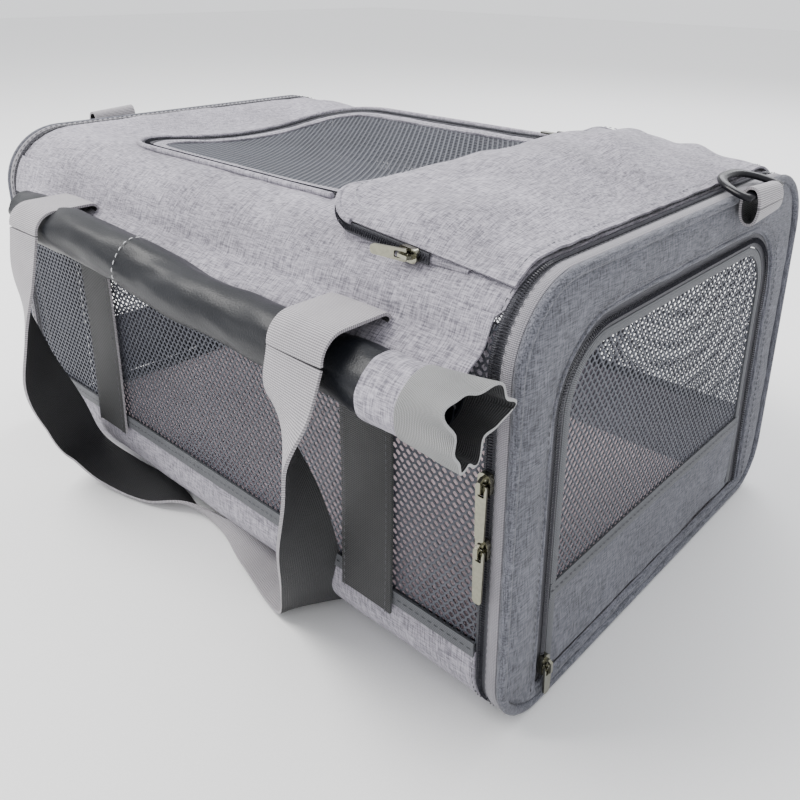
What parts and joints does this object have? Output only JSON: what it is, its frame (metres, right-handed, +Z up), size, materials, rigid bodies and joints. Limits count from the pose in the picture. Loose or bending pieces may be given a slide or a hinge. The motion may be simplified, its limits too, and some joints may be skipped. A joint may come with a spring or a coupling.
{
  "type": "pet carrier bag",
  "caption": "Soft-sided pet carrier bag with mesh sides, zipped end doors, a top mesh flap, a top pocket, rolled side curtains and webbing handles.",
  "frame": {"origin": "middle of the base, on the surface the bag stands on", "axes": "+Z up; +X along the bag's length, towards the end beside the storage pocket; -Y the front long side, with the dark rolled curtain"},
  "size_m": [0.5264, 0.4304, 0.2748],
  "materials": {
    "bottom_panel": "two-tone heather woven polyester",
    "front_lower_band": "two-tone heather woven polyester",
    "rear_lower_band": "two-tone heather woven polyester",
    "near_end_panel": "two-tone heather woven polyester",
    "far_end_panel": "two-tone heather woven polyester",
    "near_end_piping": "two-tone heather woven polyester",
    "far_end_piping": "two-tone heather woven polyester",
    "pocket_lid": "two-tone heather woven polyester",
    "pocket_back": "two-tone heather woven polyester",
    "pocket_gusset": "two-tone heather woven polyester",
    "near_door_lower_band": "two-tone heather woven polyester",
    "far_door_lower_band": "two-tone heather woven polyester",
    "top_panel": "lighter heather woven polyester",
    "top_door_binding": "lighter heather woven polyester",
    "rear_curtain_roll": "lighter heather woven polyester",
    "rear_curtain_sheet": "lighter heather woven polyester",
    "front_mesh": "coated mesh netting",
    "rear_mesh": "coated mesh netting",
    "near_door_mesh": "coated mesh netting",
    "far_door_mesh": "coated mesh netting",
    "top_door_mesh": "coated mesh netting",
    "front_webbing_far": "ribbed woven webbing",
    "front_webbing_near": "ribbed woven webbing",
    "rear_webbing_far": "ribbed woven webbing",
    "rear_webbing_near": "ribbed woven webbing",
    "front_handle": "ribbed woven webbing",
    "rear_handle": "ribbed woven webbing",
    "near_ring_tab": "ribbed woven webbing",
    "far_ring_tab": "ribbed woven webbing",
    "near_end_band": "ribbed woven webbing",
    "far_end_band": "ribbed woven webbing",
    "near_perimeter_zip": "coil zip on woven tape",
    "far_perimeter_zip": "coil zip on woven tape",
    "near_door_zip": "coil zip on woven tape",
    "far_door_zip": "coil zip on woven tape",
    "top_door_zip": "coil zip on woven tape",
    "pocket_zip": "coil zip on woven tape",
    "front_curtain_roll": "dark coated lining, satin",
    "front_curtain_sheet": "dark coated lining, satin",
    "fleece_pad": "short plush pile",
    "base_board": "matte board",
    "near_end_wire": "drawn wire",
    "far_end_wire": "drawn wire",
    "near_d_ring": "glossy moulded black",
    "far_d_ring": "glossy moulded black",
    "near_upper_slider": "polished plating",
    "near_upper_pull": "polished plating",
    "near_lower_slider": "polished plating",
    "near_lower_pull": "polished plating",
    "near_door_slider": "polished plating",
    "near_door_pull": "polished plating",
    "far_door_slider": "polished plating",
    "far_door_pull": "polished plating",
    "top_door_slider": "polished plating",
    "top_door_pull": "polished plating",
    "pocket_slider": "polished plating",
    "pocket_pull": "polished plating"
  },
  "bodies": {
    "shell": {"bottom_panel": "bottom_panel", "front_lower_band": "front_lower_band", "rear_lower_band": "rear_lower_band", "near_end_panel": "near_end_panel", "far_end_panel": "far_end_panel", "near_end_piping": "near_end_piping", "far_end_piping": "far_end_piping", "pocket_back": "pocket_back", "pocket_gusset": "pocket_gusset", "top_panel": "top_panel", "rear_curtain_sheet": "rear_curtain_sheet", "front_mesh": "front_mesh", "rear_mesh": "rear_mesh", "front_webbing_far": "front_webbing_far", "front_webbing_near": "front_webbing_near", "rear_webbing_far": "rear_webbing_far", "rear_webbing_near": "rear_webbing_near", "near_ring_tab": "near_ring_tab", "far_ring_tab": "far_ring_tab", "near_end_band": "near_end_band", "far_end_band": "far_end_band", "near_perimeter_zip": "near_perimeter_zip", "far_perimeter_zip": "far_perimeter_zip", "near_door_zip": "near_door_zip", "far_door_zip": "far_door_zip", "top_door_zip": "top_door_zip", "pocket_zip": "pocket_zip", "front_curtain_sheet": "front_curtain_sheet", "fleece_pad": "fleece_pad", "base_board": "base_board", "near_end_wire": "near_end_wire", "far_end_wire": "far_end_wire"},
    "near_door": {"near_door_mesh": "near_door_mesh", "near_door_lower_band": "near_door_lower_band"},
    "far_door": {"far_door_mesh": "far_door_mesh", "far_door_lower_band": "far_door_lower_band"},
    "top_door": {"top_door_mesh": "top_door_mesh", "top_door_binding": "top_door_binding"},
    "pocket_lid": {"pocket_lid": "pocket_lid"},
    "front_handle": {"front_handle": "front_handle"},
    "rear_handle": {"rear_handle": "rear_handle"},
    "front_curtain": {"front_curtain_roll": "front_curtain_roll"},
    "rear_curtain": {"rear_curtain_roll": "rear_curtain_roll"},
    "near_ring": {"near_d_ring": "near_d_ring"},
    "far_ring": {"far_d_ring": "far_d_ring"},
    "near_upper_slider": {"near_upper_slider": "near_upper_slider"},
    "near_upper_pull": {"near_upper_pull": "near_upper_pull"},
    "near_lower_slider": {"near_lower_slider": "near_lower_slider"},
    "near_lower_pull": {"near_lower_pull": "near_lower_pull"},
    "near_door_slider": {"near_door_slider": "near_door_slider"},
    "near_door_pull": {"near_door_pull": "near_door_pull"},
    "far_door_slider": {"far_door_slider": "far_door_slider"},
    "far_door_pull": {"far_door_pull": "far_door_pull"},
    "top_door_slider": {"top_door_slider": "top_door_slider"},
    "top_door_pull": {"top_door_pull": "top_door_pull"},
    "pocket_slider": {"pocket_slider": "pocket_slider"},
    "pocket_pull": {"pocket_pull": "pocket_pull"}
  },
  "joints": [
    {"name": "near_door_hinge", "type": "hinge", "parent": "shell", "child": "near_door", "pos_m": [0.247, 0, 0.0125], "axis": [0, 1, 0], "range_deg": [0, 90]},
    {"name": "far_door_hinge", "type": "hinge", "parent": "shell", "child": "far_door", "pos_m": [-0.247, 0, 0.0125], "axis": [0, -1, 0], "range_deg": [0, 90]},
    {"name": "top_door_hinge", "type": "hinge", "parent": "shell", "child": "top_door", "pos_m": [0.0975, 0, 0.247], "axis": [0, 1, 0], "range_deg": [0, 85]},
    {"name": "pocket_hinge", "type": "hinge", "parent": "shell", "child": "pocket_lid", "pos_m": [0.185, 0, 0.27], "axis": [0, 1, 0], "range_deg": [0, 35]},
    {"name": "front_handle_hinge", "type": "hinge", "parent": "shell", "child": "front_handle", "pos_m": [0, -0.2121, 0.2035], "axis": [-1, 0, 0], "range_deg": [0, 195]},
    {"name": "rear_handle_hinge", "type": "hinge", "parent": "shell", "child": "rear_handle", "pos_m": [0, 0.2121, 0.2035], "axis": [1, 0, 0], "range_deg": [0, 195]},
    {"name": "front_curtain_slide", "type": "slide", "parent": "shell", "child": "front_curtain", "axis": [0, 0, -1], "range_m": [0, 0.1], "deforming": ["front_curtain_sheet"]},
    {"name": "rear_curtain_slide", "type": "slide", "parent": "shell", "child": "rear_curtain", "axis": [0, 0, -1], "range_m": [0, 0.1], "deforming": ["rear_curtain_sheet"]},
    {"name": "near_ring_hinge", "type": "hinge", "parent": "shell", "child": "near_ring", "pos_m": [0.2568, 0.066, 0.2484], "axis": [0, 1, 0], "range_deg": [0, 240]},
    {"name": "far_ring_hinge", "type": "hinge", "parent": "shell", "child": "far_ring", "pos_m": [-0.2568, -0.066, 0.2353], "axis": [0, 1, 0], "range_deg": [0, 120]},
    {"name": "near_upper_slide", "type": "slide", "parent": "shell", "child": "near_upper_slider", "axis": [0, 0, 1], "range_m": [0, 0.045]},
    {"name": "near_upper_pull_hinge", "type": "hinge", "parent": "near_upper_slider", "child": "near_upper_pull", "pos_m": [0.23525, -0.1693, 0.15], "axis": [-1, 0, 0], "range_deg": [0, 150]},
    {"name": "near_lower_slide", "type": "slide", "parent": "shell", "child": "near_lower_slider", "axis": [0, 0, -1], "range_m": [0, 0.07]},
    {"name": "near_lower_pull_hinge", "type": "hinge", "parent": "near_lower_slider", "child": "near_lower_pull", "pos_m": [0.23525, -0.1693, 0.114], "axis": [-1, 0, 0], "range_deg": [0, 150]},
    {"name": "near_door_slide", "type": "slide", "parent": "shell", "child": "near_door_slider", "axis": [0, 0, 1], "range_m": [0, 0.14]},
    {"name": "near_door_pull_hinge", "type": "hinge", "parent": "near_door_slider", "child": "near_door_pull", "pos_m": [0.2515, -0.1261, 0.0235], "axis": [0, -1, 0], "range_deg": [0, 150]},
    {"name": "far_door_slide", "type": "slide", "parent": "shell", "child": "far_door_slider", "axis": [0, 0, 1], "range_m": [0, 0.14]},
    {"name": "far_door_pull_hinge", "type": "hinge", "parent": "far_door_slider", "child": "far_door_pull", "pos_m": [-0.2515, 0.1261, 0.0235], "axis": [0, 1, 0], "range_deg": [0, 150]},
    {"name": "top_door_slide", "type": "slide", "parent": "shell", "child": "top_door_slider", "axis": [-1, 0, 0], "range_m": [0, 0.17]},
    {"name": "top_door_pull_hinge", "type": "hinge", "parent": "top_door_slider", "child": "top_door_pull", "pos_m": [0.082, 0.1156, 0.2515], "axis": [0, 1, 0], "range_deg": [0, 150]},
    {"name": "pocket_slide", "type": "slide", "parent": "shell", "child": "pocket_slider", "axis": [-0.9966, 0, 0.0826], "range_m": [0, 0.055]},
    {"name": "pocket_pull_hinge", "type": "hinge", "parent": "pocket_slider", "child": "pocket_pull", "pos_m": [0.172, -0.153, 0.2412], "axis": [0.0826, 0, 0.9966], "range_deg": [0, 100]}
  ]
}
